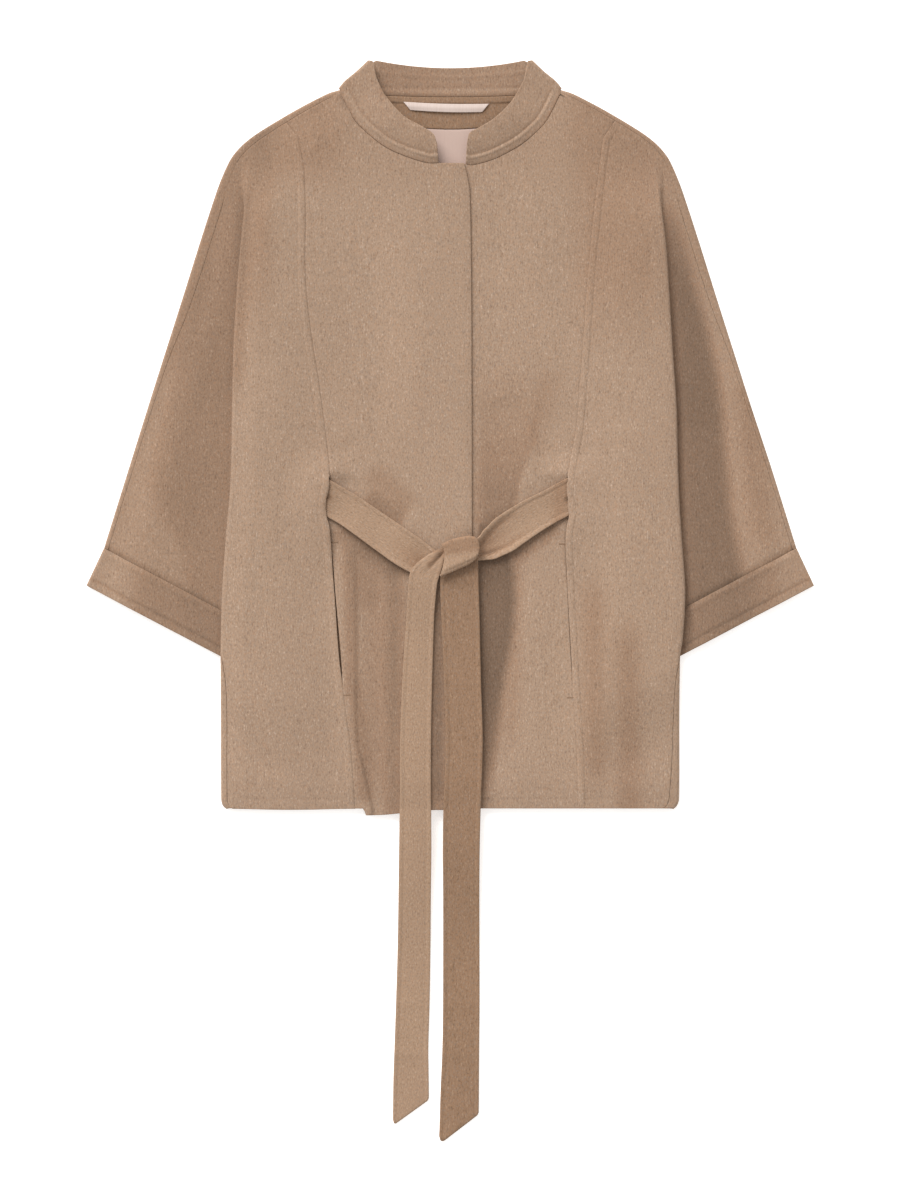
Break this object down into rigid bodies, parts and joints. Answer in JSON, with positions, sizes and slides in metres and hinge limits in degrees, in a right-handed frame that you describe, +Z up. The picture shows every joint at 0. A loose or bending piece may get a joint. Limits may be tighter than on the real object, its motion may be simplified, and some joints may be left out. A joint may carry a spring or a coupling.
{
  "type": "wool coat",
  "caption": "Short wool coat with kimono sleeves, band collar, cuffs, in-seam pockets and a tie belt, laid flat with its front up.",
  "frame": {"origin": "under the middle of the coat's box, on the surface it lies on", "axes": "+X towards the wearer's left sleeve, +Y from the belt's ends up to the collar, +Z up from the surface out of the coat's front"},
  "size_m": [0.7288, 1.0792, 0.0217],
  "materials": {
    "wool": "brushed double-faced wool, camel beige, matt with a soft nap",
    "belt_wool": "the same wool, sewn double and pressed",
    "lining": "satin lining, dusty pink",
    "tape": "smooth woven tape, cream"
  },
  "bodies": {
    "root": {"back": "wool", "side_front_right": "wool", "side_front_left": "wool", "front_right": "wool", "front_left": "wool", "cuff_right": "wool", "cuff_left": "wool", "collar": "wool", "neck_facing": "wool", "hanger_loop": "tape", "lining": "lining", "pocket_facing_right": "wool", "pocket_facing_left": "wool", "belt_strap_right": "belt_wool", "belt_strap_left": "belt_wool", "belt_back": "belt_wool", "belt_knot": "belt_wool", "belt_tail_right": "belt_wool", "belt_tail_left": "belt_wool"}
  },
  "joints": []
}
